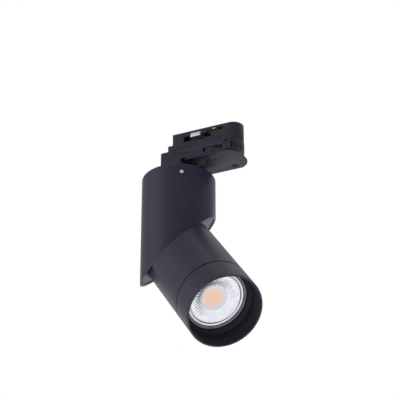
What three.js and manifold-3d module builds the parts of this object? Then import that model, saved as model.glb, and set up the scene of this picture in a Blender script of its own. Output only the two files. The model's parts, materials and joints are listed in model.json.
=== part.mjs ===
// A track spotlight: a three-circuit track adapter, a vertical tube that turns below it, and a
// lamp head that turns on the tube's slanted end face.
// Millimetres, +Z up. The origin is on the tube's swivel axis, in the plane of the track's
// underside, and +X runs along the track towards the adapter's long end.

import * as THREE from 'three';
import * as BufferGeometryUtils from 'three/addons/utils/BufferGeometryUtils.js';
import Module from 'manifold-3d';

const wasm = await Module();
wasm.setup();

// ---------------------------------------------------------------- driving dimensions

// Tube and head
const TUBE_DIAMETER = 60;
const TUBE_WALL = 1.6;
const TUBE_EDGE_RADIUS = 1.2;
const TUBE_TOP_DROP = 24;             // track's underside down to the tube's top
const CUT_DEPTH = 64.2;               // tube's top down to the centre of the slanted cut
const CUT_ANGLE = THREE.MathUtils.degToRad(45);
const HEAD_LENGTH = 103.2;            // cut's centre to the front rim
const RING_LENGTH = 23.4;             // front ring, from its groove to the rim
const RING_WALL = 1.5;
const GROOVE_WIDTH = 1.0;
const LAMP_RECESS = 18.6;             // front rim back to the lamp's face

// Pose at rest
const PAN_REST = THREE.MathUtils.degToRad(34.5);
const SWIVEL_REST = THREE.MathUtils.degToRad(-59.2);

// Adapter
const BODY_LEFT = -9;
const BODY_RIGHT = 51.2;
const BODY_HALF_WIDTH = 17;
const BODY_FLOOR = -13.7;             // underside of the housing's floor
const BODY_WALL = 1.5;
const FLOOR_THICKNESS = 1.2;
const STEP_LEFT = -2;                 // the housing's left end is lower than its middle
const STEP_LEFT_DROP = 5;
const STEP_RIGHT = 43;
const STEP_RIGHT_DROP = 2.4;
const PADDLE_END = 57.2;
const PADDLE_CORNER = 10.6;
const NECK_RIGHT = 10;
const SWIVEL_GAP = 0.8;               // neck to the tube's top
const INSERT_END = 57.2;              // tip of the insert's round end
const INSERT_WIDTH = 17.4;
const INSERT_HEIGHT = 15.5;
const INSERT_WALL = 1.3;
const FLANGE_THICKNESS = 2.2;
const FLANGE_END = 48;
const LEDGE_HEIGHTS = [-4.6, -9.2];   // shallow grooves along the housing's near side
const LEDGE_SIZE = 0.3;
const LATCH_HOLE = [48.6, -6.2];      // x and z of the small hole in the near side
const LATCH_HOLE_RADIUS = 0.9;
const SCREW_PLACES = [[14.5, 11.5], [45, 11.5]];
const SCREW_HEAD_RADIUS = 2.6;
const SCREW_SHANK_RADIUS = 1.05;
const SCREW_SEAT_DEPTH = 1.5;
const SCREW_RECESS = 0.1;

// Lock lever and phase selector
const LEVER_X = 20.5;
const LEVER_THICKNESS = 1.5;
const LEVER_NEAR_EDGE = -17;
const LEVER_FAR_EDGE = 2;
const LEVER_HUB_RADIUS = 7;
const RIVET_PLACE = [30, -7.6];
const RIVET_RADIUS = 1.2;
const RIVET_HEAD_RADIUS = 1.7;
const LOCK_SHAFT_RADIUS = 3;
const CAM_LENGTH = 26;
const CAM_WIDTH = 9;
const CAM_THICKNESS = 3.5;
const CAM_BASE = 7;
const SELECTOR_X = 36.2;
const SELECTOR_Y = -5.5;
const SELECTOR_RADIUS = 12;
const SELECTOR_THICKNESS = 2.8;
const SELECTOR_RIBS = 24;
const SELECTOR_SHAFT_RADIUS = 1.7;
const SELECTOR_COLLAR_RADIUS = 3.2;
const WINDOW_LEFT = 29;
const WINDOW_RIGHT = 46.3;
const WINDOW_HEIGHT = 3.8;

// Contacts on the insert
const CONTACT_REACH = 2.2;            // past the insert's side, into the track's conductor
const PHASE_BASE = 11.2;
const PHASE_WIDTH = 2.6;
const PHASE_THICKNESS = 1.2;
const NEUTRAL_X = 44;
const NEUTRAL_WIDTH = 4.8;
const EARTH_X = 3.5;
const EARTH_WIDTH = 3.6;

// Release button at the adapter's long end
const BUTTON_LEFT = 48.3;
const BUTTON_HALF_WIDTH = 8.6;        // of the part inside the housing
const BUTTON_END_RADIUS = 12.3;       // of the round end outside it
const BUTTON_EDGE_RADIUS = 2.4;
const BUTTON_DROP = 10.8;
const BUTTON_TRAVEL = 2.8;
const BUTTON_TONGUE = -8.6;           // underside of the part inside the housing

// Swivel nipple between adapter and tube
const NIPPLE_RADIUS = 5;
const NIPPLE_BORE = 3.5;
const RING_NUT_RADIUS = 6.2;
const RING_NUT_HEIGHT = 3;
const STOP_WASHER_THICKNESS = 1.1;
const STOP_TAB_REACH = 7.2;
const STOP_TAB_WIDTH = 1.6;
const CAP_THICKNESS = 2.5;
const CAP_SKIRT = 12;
const CAP_SKIRT_WALL = 4;
const CAP_BOSS_RADIUS = 8;
const CAP_BOSS_DROP = 3.5;
const SET_SCREW_RADIUS = 2;           // M4
const SET_SCREW_DROP = 7.3;
const SET_SCREW_ANGLE = THREE.MathUtils.degToRad(-95);

// Terminal block inside the tube
const BLOCK_STUD = [-14, 6];
const BLOCK_HEIGHT = 15;
const BLOCK_ABOVE_CUT = 21.2;         // cut's centre to the block's underside
const TERMINAL_ROWS = [-6.5, 0];
const LEAD_RADIUS = 1.8;
const SUPPLY_LEAD_RADIUS = 2;
const ADAPTER_LEAD_RADIUS = 1.5;

// Slanted pivot between tube and head
const FACE_GAP = 0.5;
const PLATE_RECESS = 0.4;
const PLATE_THICKNESS = 2.5;
const PIVOT_RADIUS = 5;
const PIVOT_BORE = 3.2;
const PIVOT_SHANK = 12;
const PIVOT_HEAD_RADIUS = 8;
const PIVOT_HEAD_HEIGHT = 3;
const FRICTION_DISC_RADIUS = 15;
const STOP_PLATE_RADIUS = 8.5;
const STOP_PIN_RADIUS = 1.2;
const STOP_PIN_CIRCLE = 11.5;
const STOP_PIN_MARGIN = THREE.MathUtils.degToRad(14);

// Lamp, 50 mm reflector lamp with a twist base
const LAMP_RADIUS = 25;
const LAMP_LENGTH = 50;
const LAMP_BEZEL_WIDTH = 2.3;
const LAMP_RIM_HEIGHT = 6.3;
const LENS_DEPTH = 13;
const BOARD_STACK = 2.2;              // lens's back to the board's back
const LAMP_BASE_RADIUS = 8.5;
const LAMP_PIN_SPACING = 10;
const LAMP_PIN_RADIUS = 1.5;
const LAMP_PIN_HEAD_RADIUS = 2.5;
const LAMP_PIN_LENGTH = 7;
const LAMP_TWIST = THREE.MathUtils.degToRad(20);
const HOLDER_RADIUS = 13;
const HOLDER_HEIGHT = 13;
const HOLDER_SCREW_OFFSET = 10;
const BRACKET_THICKNESS = 1.2;
const COLLAR_HEIGHT = 8;              // of the front ring's part inside the head
const BAYONET_PIN_RADIUS = 1.2;
const BAYONET_TURN = THREE.MathUtils.degToRad(25);

// Clearances
const GAP = 0.3;                      // between fixed neighbours
const RUNNING = 0.08;                 // radial, shaft to bore

// Values that follow
const TUBE_RADIUS = TUBE_DIAMETER / 2;
const TUBE_BORE = TUBE_RADIUS - TUBE_WALL;
const FLOOR_TOP = BODY_FLOOR + FLOOR_THICKNESS;
const SCREW_SEAT = BODY_FLOOR + SCREW_SEAT_DEPTH;
const SCREW_SEAT_RADIUS = SCREW_HEAD_RADIUS + GAP;
const LEVER_TOP = BODY_FLOOR - GAP;
const LEVER_BOTTOM = LEVER_TOP - LEVER_THICKNESS;
const SELECTOR_BASE = FLOOR_TOP + 0.4;
const SELECTOR_TOP = SELECTOR_BASE + SELECTOR_THICKNESS;
const BUTTON_SHOULDER = BODY_RIGHT + GAP;
const BUTTON_END_X = INSERT_END - BUTTON_END_RADIUS;
const BUTTON_CAP_HALF = Math.sqrt(BUTTON_END_RADIUS ** 2 - (BUTTON_SHOULDER - BUTTON_END_X) ** 2);
const WASHER_BASE = FLOOR_TOP + 0.15;
const NIPPLE_TOP = FLOOR_TOP + STOP_WASHER_THICKNESS + RING_NUT_HEIGHT + 1.1;
const BLOCK_BOTTOM = -CUT_DEPTH + BLOCK_ABOVE_CUT;
const BLOCK_TOP = BLOCK_BOTTOM + BLOCK_HEIGHT;
const PLATE_NEAR = FACE_GAP / 2 + PLATE_RECESS;
const PLATE_FAR = PLATE_NEAR + PLATE_THICKNESS;
const STOP_BASE = PLATE_FAR + 1.9;
const SHELL_END = -(HEAD_LENGTH - RING_LENGTH) + GROOVE_WIDTH / 2;
const RING_START = SHELL_END - GROOVE_WIDTH;
const COLLAR_OUTER = TUBE_BORE - GAP;
const COLLAR_INNER = LAMP_RADIUS + 1.4;
const COLLAR_TOP = SHELL_END + COLLAR_HEIGHT;
const BAYONET_Z = SHELL_END + COLLAR_HEIGHT / 2;
const LAMP_FACE = -(HEAD_LENGTH - LAMP_RECESS);
const LAMP_BACK = LAMP_FACE + LAMP_LENGTH;
const RIM_BACK = LAMP_FACE + LAMP_RIM_HEIGHT;
const LENS_BACK = LAMP_FACE + LENS_DEPTH;
const BOARD_BACK = LENS_BACK + BOARD_STACK;
const HOLDER_FACE = LAMP_BACK + 0.8;
const HOLDER_BACK = HOLDER_FACE + HOLDER_HEIGHT;
const THIRDS = [0, 1, 2].map((i) => (2 * Math.PI * i) / 3);

// Sides of a full circle
const SHELL_SEGMENTS = 48;
const BORE_SEGMENTS = 24;
const SMALL_SEGMENTS = 12;

// ---------------------------------------------------------------- solids

// Turns a closed three.js geometry into a manifold solid with outward faces.
function solid(geometry) {
  const bare = geometry.clone();
  bare.deleteAttribute('normal');
  bare.deleteAttribute('uv');
  const merged = BufferGeometryUtils.mergeVertices(bare, 1e-4);
  const position = merged.attributes.position;
  const corner = [new THREE.Vector3(), new THREE.Vector3(), new THREE.Vector3()];
  const kept = [];
  let volume = 0;
  for (let i = 0; i < merged.index.count; i += 3) {
    const ids = [0, 1, 2].map((k) => merged.index.getX(i + k));
    if (ids[0] === ids[1] || ids[1] === ids[2] || ids[2] === ids[0]) {
      continue;
    }
    kept.push(ids);
    ids.forEach((id, k) => corner[k].fromBufferAttribute(position, id));
    volume += corner[0].dot(corner[1].clone().cross(corner[2]));
  }
  const triangles = kept.flatMap((ids) => (volume < 0 ? [ids[0], ids[2], ids[1]] : ids));
  return new wasm.Manifold(new wasm.Mesh({
    numProp: 3,
    vertProperties: new Float32Array(position.array),
    triVerts: new Uint32Array(triangles),
  }));
}

function block(x0, x1, y0, y1, z0, z1) {
  const box = new THREE.BoxGeometry(x1 - x0, y1 - y0, z1 - z0);
  box.translate((x0 + x1) / 2, (y0 + y1) / 2, (z0 + z1) / 2);
  return solid(box);
}

// Upright cylinder.
function rod(radius, z0, z1, x = 0, y = 0, segments = BORE_SEGMENTS) {
  const cylinder = new THREE.CylinderGeometry(radius, radius, z1 - z0, segments);
  cylinder.rotateX(Math.PI / 2);
  cylinder.translate(x, y, (z0 + z1) / 2);
  return solid(cylinder);
}

// Upright ring with a square section.
function ring(inner, outer, z0, z1, segments = BORE_SEGMENTS) {
  return turned([[inner, z0], [outer, z0], [outer, z1], [inner, z1]], segments);
}

// Solid of revolution about Z from a list of [radius, z] corners.
function turned(corners, segments = BORE_SEGMENTS) {
  const points = corners.map(([radius, z]) => new THREE.Vector2(radius, z));
  const onAxis = corners[0][0] === 0 && corners[corners.length - 1][0] === 0;
  if (!onAxis) {
    points.push(points[0].clone());
  }
  const lathe = new THREE.LatheGeometry(points, segments);
  lathe.rotateX(Math.PI / 2);
  return solid(lathe);
}

// Upright prism from a three.js shape.
function prism(shape, z0, z1, curveSegments = 8) {
  const depth = z1 - z0;
  const extruded = new THREE.ExtrudeGeometry(shape, { depth, bevelEnabled: false, curveSegments });
  extruded.translate(0, 0, z0);
  return solid(extruded);
}

// Rectangle with one radius per corner: left-near, right-near, right-far, left-far.
function roundedRectangle(x0, x1, y0, y1, radii) {
  const [a, b, c, d] = radii;
  const shape = new THREE.Shape();
  shape.moveTo(x0 + a, y0);
  shape.lineTo(x1 - b, y0);
  shape.absarc(x1 - b, y0 + b, b, -Math.PI / 2, 0);
  shape.lineTo(x1, y1 - c);
  shape.absarc(x1 - c, y1 - c, c, 0, Math.PI / 2);
  shape.lineTo(x0 + d, y1);
  shape.absarc(x0 + d, y1 - d, d, Math.PI / 2, Math.PI);
  shape.lineTo(x0, y0 + a);
  shape.absarc(x0 + a, y0 + a, a, Math.PI, 1.5 * Math.PI);
  return shape;
}

// Round cable along a smooth curve through the points.
function cable(points, radius, steps) {
  const section = new THREE.Shape();
  section.absarc(0, 0, radius, 0, 2 * Math.PI);
  const path = new THREE.CatmullRomCurve3(points.map((p) => new THREE.Vector3(...p)));
  return solid(new THREE.ExtrudeGeometry(section, {
    steps, curveSegments: 4, bevelEnabled: false, extrudePath: path,
  }));
}

function spun(part, angle) {
  return part.rotate([0, 0, THREE.MathUtils.radToDeg(angle)]);
}

function moved(part, x, y, z) {
  return part.translate([x, y, z]);
}

function joined(parts) {
  return parts.reduce((whole, part) => whole.add(part));
}

// Copies of a part spread evenly round the Z axis.
function around(part, count, start = 0) {
  const copies = Array.from({ length: count }, (_, i) => spun(part, start + (2 * Math.PI * i) / count));
  return joined(copies);
}

// Everything on the head's side of the slanted cut, moved on by an offset along its normal.
function beyondCut(offset, centreZ) {
  const reach = 4 * TUBE_DIAMETER;
  const half = new THREE.BoxGeometry(reach, reach, reach);
  half.translate(0, 0, -reach / 2);
  half.rotateY(-CUT_ANGLE);
  half.translate(offset * Math.sin(CUT_ANGLE), 0, centreZ - offset * Math.cos(CUT_ANGLE));
  return solid(half);
}

// ---------------------------------------------------------------- materials and nodes

const blackPaint = { color: 0x3b3944, roughness: 0.42, metalness: 0.0 };
const blackPlastic = { color: 0x2c2b31, roughness: 0.5, metalness: 0.0 };
const steel = { color: 0xb9bbc0, roughness: 0.3, metalness: 1.0 };
const darkSteel = { color: 0x6c6e74, roughness: 0.4, metalness: 1.0 };
const blackSteel = { color: 0x2b2b2f, roughness: 0.45, metalness: 0.9 };
const aluminium = { color: 0xc3c6cb, roughness: 0.38, metalness: 1.0 };
const brass = { color: 0xc9a24a, roughness: 0.3, metalness: 1.0 };
const rubber = { color: 0x18181a, roughness: 0.8, metalness: 0.0 };
const whiteCeramic = { color: 0xe6e2d8, roughness: 0.45, metalness: 0.0 };
const silicone = { color: 0xd9d9d6, roughness: 0.6, metalness: 0.0 };
const clearPlastic = { color: 0xe9f0f5, roughness: 0.05, metalness: 0.0, transparent: true, opacity: 0.35 };
const phosphor = { color: 0xf2b45c, roughness: 0.6, metalness: 0.0 };
const boardWhite = { color: 0xeeeeea, roughness: 0.5, metalness: 0.0 };

function addPart(parent, name, part, look) {
  const mesh = part.getMesh();
  const geometry = new THREE.BufferGeometry();
  geometry.setAttribute('position', new THREE.BufferAttribute(mesh.vertProperties.slice(), 3));
  geometry.setIndex(new THREE.BufferAttribute(mesh.triVerts.slice(), 1));
  geometry.computeVertexNormals();
  const piece = new THREE.Mesh(geometry, new THREE.MeshStandardMaterial(look));
  piece.name = name;
  parent.add(piece);
}

// ---------------------------------------------------------------- adapter: housing and insert

function adapterHousing() {
  const h = BODY_HALF_WIDTH;
  const w = BODY_WALL;
  const c = PADDLE_CORNER;
  const middle = prism(roundedRectangle(STEP_LEFT, BODY_RIGHT, -h, h, [0.5, 2, 2, 0.5]), BODY_FLOOR, 0);
  const left = prism(roundedRectangle(BODY_LEFT, 0, -h, h, [2, 0.5, 0.5, 2]), BODY_FLOOR, -STEP_LEFT_DROP);
  const paddle = prism(roundedRectangle(0, PADDLE_END, -h, h, [1, c, c, 1]), BODY_FLOOR, FLOOR_TOP);
  const neckFoot = -TUBE_TOP_DROP + SWIVEL_GAP;
  const neck = prism(roundedRectangle(BODY_LEFT, NECK_RIGHT, -h, h, [2, 2, 2, 2]), neckFoot, FLOOR_TOP);
  const hollow = block(STEP_LEFT + w, BODY_RIGHT - w, -h + w, h - w, FLOOR_TOP, 1);
  const leftHollow = block(BODY_LEFT + w, BODY_RIGHT / 2, -h + w, h - w, FLOOR_TOP, -STEP_LEFT_DROP - w);
  const rightStep = block(STEP_RIGHT, BODY_RIGHT + 1, -h - 1, h + 1, -STEP_RIGHT_DROP, 1);
  const windowTop = FLOOR_TOP + WINDOW_HEIGHT;
  const sideWindow = block(WINDOW_LEFT, WINDOW_RIGHT, -h - 1, -h + 2 * w, FLOOR_TOP, windowTop);
  const door = BUTTON_CAP_HALF + GAP;
  const buttonDoor = block(BODY_RIGHT - 2 * w, BODY_RIGHT + 1, -door, door, -BUTTON_DROP - GAP, 1);
  const stopPost = block(-STOP_TAB_WIDTH / 2, STOP_TAB_WIDTH / 2, RING_NUT_RADIUS + 0.4, STOP_TAB_REACH + 2,
    FLOOR_TOP - 0.5, FLOOR_TOP + STOP_WASHER_THICKNESS + 1);
  const nippleBore = rod(NIPPLE_RADIUS + RUNNING, -TUBE_TOP_DROP - 1, FLOOR_TOP + 1);
  const leverBore = rod(LOCK_SHAFT_RADIUS + RUNNING, BODY_FLOOR - 1, FLOOR_TOP + 1, LEVER_X);
  const screwSeats = SCREW_PLACES.map(([x, y]) => {
    return rod(SCREW_SEAT_RADIUS + 1, BODY_FLOOR + SCREW_RECESS, SCREW_SEAT + 1, x, y);
  });
  const screwBores = SCREW_PLACES.map(([x, y]) => {
    const bore = rod(SCREW_SHANK_RADIUS + 2 * GAP, BODY_FLOOR - 1, SCREW_SEAT + 2, x, y, SMALL_SEGMENTS);
    return bore.add(rod(SCREW_SEAT_RADIUS, BODY_FLOOR - 1, SCREW_SEAT, x, y));
  });
  const ledges = LEDGE_HEIGHTS.map((z) => {
    return block(STEP_LEFT + 4, WINDOW_LEFT - 3, -h - 1, -h + LEDGE_SIZE, z - LEDGE_SIZE, z);
  });
  const [holeX, holeZ] = LATCH_HOLE;
  const latchHole = rod(LATCH_HOLE_RADIUS, 0, 2 * w, 0, 0, SMALL_SEGMENTS)
    .rotate([90, 0, 0])
    .translate([holeX, -h + 1.5 * w, holeZ]);
  return joined([middle, left, paddle, neck])
    .subtract(joined([hollow, leftHollow, rightStep, sideWindow, buttonDoor, latchHole, ...ledges]))
    .add(joined([stopPost, ...screwSeats]))
    .subtract(joined([nippleBore, leverBore, ...screwBores]));
}

function adapterInsert() {
  const half = INSERT_WIDTH / 2;
  const inner = half - INSERT_WALL;
  const flangeHalf = BODY_HALF_WIDTH - BODY_WALL - GAP;
  const flangeLeft = STEP_LEFT + BODY_WALL + GAP;
  const flangeBottom = -GAP - FLANGE_THICKNESS;
  const end = half - 0.1;
  const innerEnd = inner - 0.1;
  const barPlan = roundedRectangle(STEP_LEFT, INSERT_END, -half, half, [1, end, end, 1]);
  const bar = prism(barPlan, GAP, INSERT_HEIGHT);
  const flange = block(flangeLeft, FLANGE_END, -flangeHalf, flangeHalf, flangeBottom, -GAP);
  const web = block(flangeLeft, FLANGE_END, -half, half, -GAP - 0.2, GAP + 0.2);
  const hollowPlan = roundedRectangle(flangeLeft + INSERT_WALL, INSERT_END - INSERT_WALL, -inner, inner,
    [0.5, innerEnd, innerEnd, 0.5]);
  const hollow = prism(hollowPlan, flangeBottom - 1, INSERT_HEIGHT - INSERT_WALL);
  const postFoot = SCREW_SEAT + 1 + GAP;
  const posts = SCREW_PLACES.map(([x, y]) => rod(SCREW_HEAD_RADIUS, postFoot, flangeBottom + 0.5, x, y));
  const postBores = SCREW_PLACES.map(([x, y]) => {
    return rod(SCREW_SHANK_RADIUS + GAP / 2, FLOOR_TOP - 1, -5, x, y, SMALL_SEGMENTS);
  });
  const camReach = Math.hypot(CAM_LENGTH / 2, CAM_WIDTH / 2);
  const camWindow = Math.sqrt(camReach ** 2 - inner ** 2) + 2 * GAP;
  const camSlot = block(LEVER_X - camWindow, LEVER_X + camWindow, -half - 1, half + 1,
    CAM_BASE - 0.5, CAM_BASE + CAM_THICKNESS + 0.5);
  const slotFoot = PHASE_BASE - 2 * GAP;
  const fingerSlot = block(SELECTOR_X - 7, SELECTOR_X + 7, -half - 1, 0, slotFoot, slotFoot + 2.4);
  const neutralSlot = block(NEUTRAL_X - NEUTRAL_WIDTH / 2 - 2 * GAP, NEUTRAL_X + NEUTRAL_WIDTH / 2 + 2 * GAP,
    0, half + 1, slotFoot, slotFoot + 2.8);
  const earthHalf = EARTH_WIDTH / 2 + 0.4;
  const earthSlots = [-1, 1].map((side) => {
    return block(EARTH_X - earthHalf, EARTH_X + earthHalf, side * half - 1.5, side * half + 1.5, 2.6, 5.4);
  });
  const room = BUTTON_HALF_WIDTH + GAP;
  const roomLeft = BUTTON_LEFT - BUTTON_TRAVEL - GAP;
  const buttonRoom = block(roomLeft, FLANGE_END + 1, -room, room, flangeBottom - 1, GAP);
  return joined([bar, flange, web, ...posts])
    .subtract(joined([hollow, buttonRoom, camSlot, fingerSlot, neutralSlot, ...earthSlots, ...postBores]));
}

function housingScrew([x, y]) {
  const foot = BODY_FLOOR + SCREW_RECESS;
  const head = rod(SCREW_HEAD_RADIUS, foot, SCREW_SEAT - SCREW_RECESS, x, y, SMALL_SEGMENTS);
  const shank = rod(SCREW_SHANK_RADIUS, foot + 0.8, -6, x, y, SMALL_SEGMENTS);
  const arm = 1.5;
  const slot = 0.3;
  const crossA = block(x - arm, x + arm, y - slot, y + slot, foot - 1, foot + 0.7);
  const crossB = block(x - slot, x + slot, y - arm, y + arm, foot - 1, foot + 0.7);
  return head.add(shank).subtract(crossA.add(crossB));
}

// ---------------------------------------------------------------- adapter: lever, selector, button

function lockLever() {
  const outline = roundedRectangle(NECK_RIGHT + 1, PADDLE_END, LEVER_NEAR_EDGE, LEVER_FAR_EDGE,
    [5, PADDLE_CORNER, 1, 4]);
  const blade = prism(outline, LEVER_BOTTOM, LEVER_TOP);
  const hub = rod(LEVER_HUB_RADIUS, LEVER_BOTTOM, LEVER_TOP, LEVER_X);
  const socket = rod(LOCK_SHAFT_RADIUS - 0.6, LEVER_BOTTOM - 1, LEVER_TOP + 1, LEVER_X);
  const rivetBore = rod(RIVET_RADIUS + RUNNING, LEVER_BOTTOM - 1, LEVER_TOP + 1, ...RIVET_PLACE,
    SMALL_SEGMENTS);
  return blade.add(hub).subtract(socket.add(rivetBore));
}

function leverRivet() {
  const under = LEVER_BOTTOM - 0.05;
  const r = RIVET_HEAD_RADIUS;
  const head = turned([[0, under - 0.4], [0.7 * r, under - 0.3], [r, under], [0, under]]);
  const shank = rod(RIVET_RADIUS, under - 0.1, LEVER_TOP - GAP, 0, 0, SMALL_SEGMENTS);
  return moved(head.add(shank), ...RIVET_PLACE, 0);
}

function lockShaft() {
  const shaft = rod(LOCK_SHAFT_RADIUS, LEVER_TOP + 0.05, CAM_BASE - 0.05, LEVER_X);
  const foot = rod(LOCK_SHAFT_RADIUS - 0.9, LEVER_BOTTOM, LEVER_TOP + 1, LEVER_X);
  const spigot = rod(LOCK_SHAFT_RADIUS - 0.9, CAM_BASE - 1, CAM_BASE + CAM_THICKNESS + 0.6, LEVER_X);
  const flat = block(LEVER_X + 1.2, LEVER_X + 4, -3, 3, CAM_BASE - 0.05, CAM_BASE + CAM_THICKNESS + 1);
  return joined([shaft, foot, spigot]).subtract(flat);
}

function lockCam() {
  const l = CAM_LENGTH / 2;
  const w = CAM_WIDTH / 2;
  const outline = roundedRectangle(LEVER_X - w, LEVER_X + w, -l, l, [1, 1, 1, 1]);
  const bore = rod(LOCK_SHAFT_RADIUS - 0.6, CAM_BASE - 1, CAM_BASE + CAM_THICKNESS + 1, LEVER_X);
  return prism(outline, CAM_BASE, CAM_BASE + CAM_THICKNESS).subtract(bore);
}

function selectorWheel() {
  const disc = rod(SELECTOR_RADIUS - 0.4, SELECTOR_BASE, SELECTOR_TOP, 0, 0, SHELL_SEGMENTS);
  const rib = block(SELECTOR_RADIUS - 1, SELECTOR_RADIUS - 0.05, -0.35, 0.35, SELECTOR_BASE, SELECTOR_TOP);
  const bore = rod(SELECTOR_SHAFT_RADIUS + 0.1, SELECTOR_BASE - 1, SELECTOR_TOP + 1);
  const wheel = disc.add(around(rib, SELECTOR_RIBS)).subtract(bore);
  return moved(wheel, SELECTOR_X, SELECTOR_Y, 0);
}

function selectorShaft() {
  const pin = rod(SELECTOR_SHAFT_RADIUS, SELECTOR_BASE, PHASE_BASE + 2 * PHASE_THICKNESS);
  const collar = rod(SELECTOR_COLLAR_RADIUS, SELECTOR_TOP + 0.1, SELECTOR_TOP + 1.6);
  return moved(pin.add(collar), SELECTOR_X, SELECTOR_Y, 0);
}

function phaseContact() {
  const reach = INSERT_WIDTH / 2 + SELECTOR_Y + CONTACT_REACH;
  const top = PHASE_BASE + PHASE_THICKNESS;
  const hub = rod(2.5, PHASE_BASE, top);
  const finger = block(-PHASE_WIDTH / 2, PHASE_WIDTH / 2, -reach, 0, PHASE_BASE, top);
  const bore = rod(SELECTOR_SHAFT_RADIUS + 0.1, PHASE_BASE - 1, top + 1);
  return moved(hub.add(finger).subtract(bore), SELECTOR_X, SELECTOR_Y, 0);
}

function neutralContact() {
  const side = NEUTRAL_WIDTH / 2;
  const sheet = 0.8;
  const tip = INSERT_WIDTH / 2 + CONTACT_REACH - 0.6;
  const blade = block(-side, side, 1, tip, PHASE_BASE, PHASE_BASE + sheet);
  const tail = block(-side, side, 1, 1 + sheet, 3, PHASE_BASE + sheet / 2);
  return moved(blade.add(tail), NEUTRAL_X, 0, 0);
}

function earthContact(side) {
  const half = INSERT_WIDTH / 2;
  const w = EARTH_WIDTH / 2;
  const root = half - 2 * INSERT_WALL;
  const pad = block(-w, w, root, half + 0.5, 3.2, 4.8);
  const strip = block(-w, w, root, root + 0.8, 3.2, 11);
  return moved(spun(pad.add(strip), side * Math.PI), EARTH_X, 0, 0);
}

function releaseButton() {
  const r = BUTTON_END_RADIUS;
  const e = BUTTON_EDGE_RADIUS;
  const h = BUTTON_HALF_WIDTH;
  const edge = [0, 1, 2, 3].map((i) => {
    const a = (i / 3) * (Math.PI / 2);
    return [r - e + e * Math.sin(a), -BUTTON_DROP + e - e * Math.cos(a)];
  });
  const roundEnd = turned([[0, -BUTTON_DROP], ...edge, [r, 0], [0, 0]], SHELL_SEGMENTS);
  const outside = block(BUTTON_SHOULDER, INSERT_END + 1, -r, r, -BUTTON_DROP - 1, 1);
  const cap = moved(roundEnd, BUTTON_END_X, 0, 0).intersect(outside);
  const tongue = block(BUTTON_LEFT, BUTTON_SHOULDER + 1, -h, h, BUTTON_TONGUE, 0);
  const stem = block(BUTTON_LEFT - 2, BUTTON_LEFT + 1, -h + 4, h - 4, -7.5, -4);
  return joined([cap, tongue, stem]);
}

// ---------------------------------------------------------------- adapter: swivel and wiring

function swivelNipple() {
  const bottom = -TUBE_TOP_DROP - CAP_THICKNESS - CAP_BOSS_DROP;
  return rod(NIPPLE_RADIUS, bottom, NIPPLE_TOP).subtract(rod(NIPPLE_BORE, bottom - 1, NIPPLE_TOP + 1));
}

function stopWasher() {
  const top = WASHER_BASE + STOP_WASHER_THICKNESS;
  const disc = rod(RING_NUT_RADIUS, WASHER_BASE, top);
  const tab = block(-STOP_TAB_WIDTH / 2, STOP_TAB_WIDTH / 2, -STOP_TAB_REACH, 0, WASHER_BASE, top);
  return disc.add(tab).subtract(rod(NIPPLE_RADIUS + 0.1, WASHER_BASE - 1, top + 1));
}

function ringNut() {
  const base = WASHER_BASE + STOP_WASHER_THICKNESS + 0.1;
  const top = base + RING_NUT_HEIGHT;
  const notch = block(RING_NUT_RADIUS - 0.7, RING_NUT_RADIUS + 1, -0.7, 0.7, base + 1.5, top + 1);
  return rod(RING_NUT_RADIUS, base, top)
    .subtract(rod(NIPPLE_RADIUS + 0.1, base - 1, top + 1))
    .subtract(around(notch, 6));
}

function adapterLead() {
  const level = 3.2;
  const bay = 5.3;
  const start = NIPPLE_TOP + 1.6;
  return cable([[3.2, 0, start], [3.2, 0.4, start + 4], [6, bay - 1.5, level - 0.8], [10, bay, level],
    [LEVER_X, bay, level], [NEUTRAL_X - 6, bay, level]], ADAPTER_LEAD_RADIUS, 20);
}

// ---------------------------------------------------------------- tube (origin: its top centre)

function upperTube() {
  const foot = -CUT_DEPTH - TUBE_DIAMETER;
  const e = TUBE_EDGE_RADIUS;
  const edge = [0, 1, 2].map((i) => {
    const a = (i / 2) * (Math.PI / 2);
    return [TUBE_RADIUS - e + e * Math.cos(a), -e + e * Math.sin(a)];
  });
  const wall = turned([[TUBE_BORE, foot], [TUBE_RADIUS, foot], ...edge, [TUBE_BORE, 0]], SHELL_SEGMENTS);
  const screwHole = sideways(SET_SCREW_RADIUS + GAP, TUBE_BORE - 2, TUBE_RADIUS + 2);
  return wall
    .subtract(beyondCut(-FACE_GAP / 2, -CUT_DEPTH))
    .subtract(around(screwHole, 3, SET_SCREW_ANGLE));
}

// Rod that points outwards from the axis at the set screws' height.
function sideways(radius, from, to) {
  const cylinder = new THREE.CylinderGeometry(radius, radius, to - from, SMALL_SEGMENTS);
  cylinder.rotateZ(Math.PI / 2);
  cylinder.translate((from + to) / 2, 0, -SET_SCREW_DROP);
  return solid(cylinder);
}

function mountCap() {
  const r = TUBE_BORE - GAP;
  const disc = rod(r, -CAP_THICKNESS, 0, 0, 0, SHELL_SEGMENTS);
  const skirt = ring(r - CAP_SKIRT_WALL, r, -CAP_SKIRT, -CAP_THICKNESS + 0.5, SHELL_SEGMENTS);
  const boss = rod(CAP_BOSS_RADIUS, -CAP_THICKNESS - CAP_BOSS_DROP, -CAP_THICKNESS + 0.5);
  const stud = rod(3, BLOCK_TOP + GAP, -CAP_THICKNESS + 0.5, ...BLOCK_STUD, SMALL_SEGMENTS);
  const studBore = rod(1.3, BLOCK_TOP - 1, BLOCK_TOP + 8, ...BLOCK_STUD, SMALL_SEGMENTS);
  const bore = rod(NIPPLE_RADIUS + 0.1, -CAP_THICKNESS - 10, 1);
  const screwHole = sideways(SET_SCREW_RADIUS + 0.05, r - CAP_SKIRT_WALL - 2, r + 2);
  return joined([disc, skirt, boss, stud])
    .subtract(joined([studBore, bore]))
    .subtract(around(screwHole, 3, SET_SCREW_ANGLE));
}

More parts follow.
